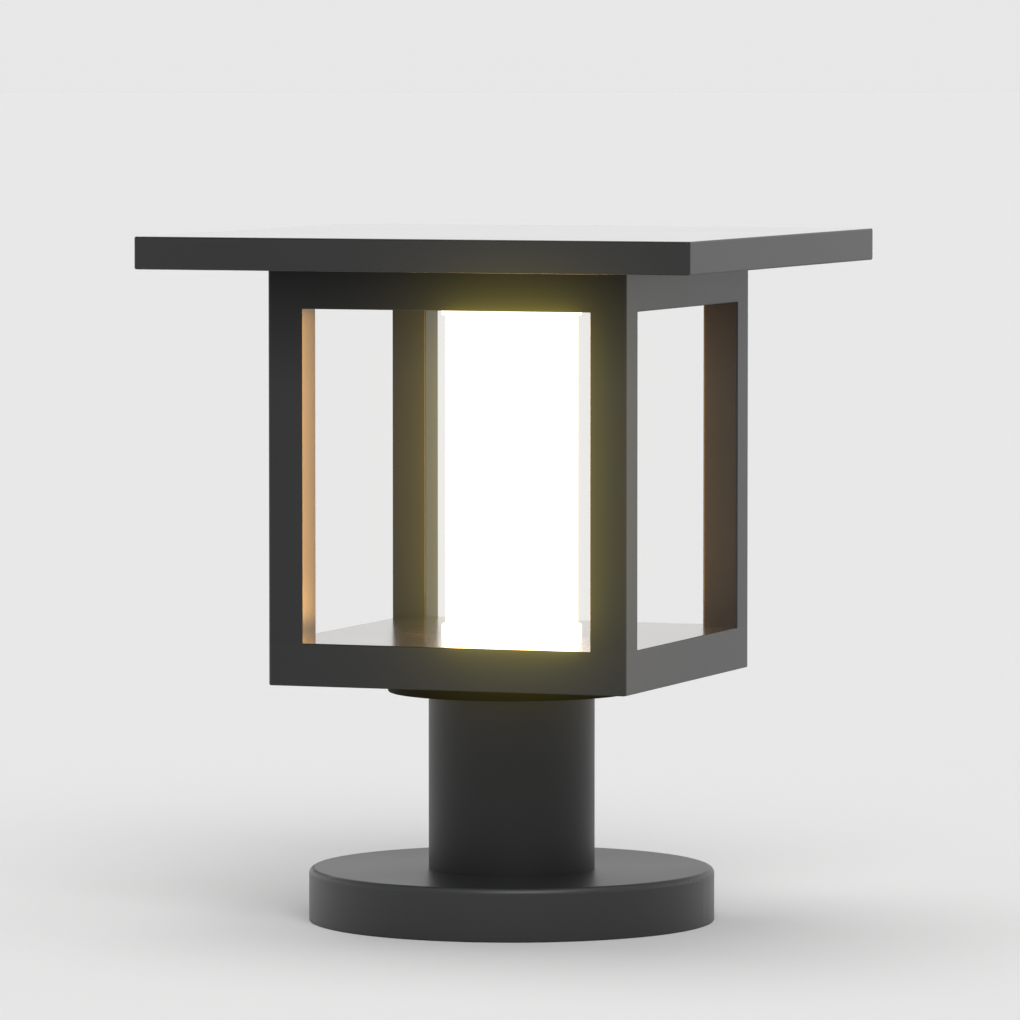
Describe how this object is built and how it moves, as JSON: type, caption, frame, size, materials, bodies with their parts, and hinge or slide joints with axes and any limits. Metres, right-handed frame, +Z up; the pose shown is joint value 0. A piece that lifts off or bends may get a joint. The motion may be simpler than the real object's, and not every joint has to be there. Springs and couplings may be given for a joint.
{
  "type": "pillar lantern",
  "caption": "Square pillar lantern with a flat overhanging cap, an open post frame round a glowing opal tube, a round neck and a round base.",
  "frame": {"origin": "centre of the base's underside", "axes": "+Z up; the front face looks towards -Y and the right face towards +X"},
  "size_m": [0.25, 0.25, 0.3],
  "materials": {
    "grey_powder_coat": "fine-textured satin powder coat on aluminium",
    "collar_coat": "satin white coat on aluminium",
    "black_rubber": "matte moulded rubber",
    "silicone": "matte translucent silicone",
    "zinc_plate": "zinc-plated steel",
    "stainless_screw": "stainless steel",
    "white_nylon": "moulded nylon",
    "driver_case": "moulded case",
    "lead_sheath": "PVC sheath",
    "opal_acrylic": "opal acrylic, lit from inside",
    "bare_aluminium": "extruded, bare",
    "white_board": "solder-masked board",
    "light_chip": "phosphor"
  },
  "bodies": {
    "lamp": {"base_flange": "grey_powder_coat", "base_gasket": "black_rubber", "base_grub_screws": "stainless_screw", "bottom_plate": "grey_powder_coat", "bottom_plate_screws": "stainless_screw", "bracket_screws": "stainless_screw", "cable_grommet": "black_rubber", "cap_gasket": "black_rubber", "cap_grub_screws": "stainless_screw", "collar_screws": "stainless_screw", "column_screws": "stainless_screw", "diffuser_seals": "silicone", "diffuser_tube": "opal_acrylic", "disc_screws": "stainless_screw", "driver_bracket": "zinc_plate", "earth_screw": "stainless_screw", "front_left_post": "grey_powder_coat", "front_right_post": "grey_powder_coat", "head_disc": "grey_powder_coat", "lamp_lead": "lead_sheath", "led_chips": "light_chip", "led_column": "bare_aluminium", "led_driver": "driver_case", "led_strips": "white_board", "lower_collar": "collar_coat", "lower_frame": "grey_powder_coat", "mounting_plate": "zinc_plate", "neck_foot_screws": "stainless_screw", "neck_top_screws": "stainless_screw", "neck_tube": "grey_powder_coat", "rear_left_post": "grey_powder_coat", "rear_right_post": "grey_powder_coat", "supply_lead": "lead_sheath", "terminal_block": "white_nylon", "tie_rod_nuts": "zinc_plate", "tie_rods": "zinc_plate", "upper_collar": "collar_coat", "upper_frame": "grey_powder_coat"},
    "cap": {"cap_shell": "grey_powder_coat", "cap_underplate": "grey_powder_coat", "underplate_screws": "stainless_screw", "cap_locating_frame": "grey_powder_coat"}
  },
  "joints": [
    {"name": "cap_lift", "type": "slide", "parent": "lamp", "child": "cap", "axis": [0, 0, 1], "range_m": [0, 0.04]}
  ]
}
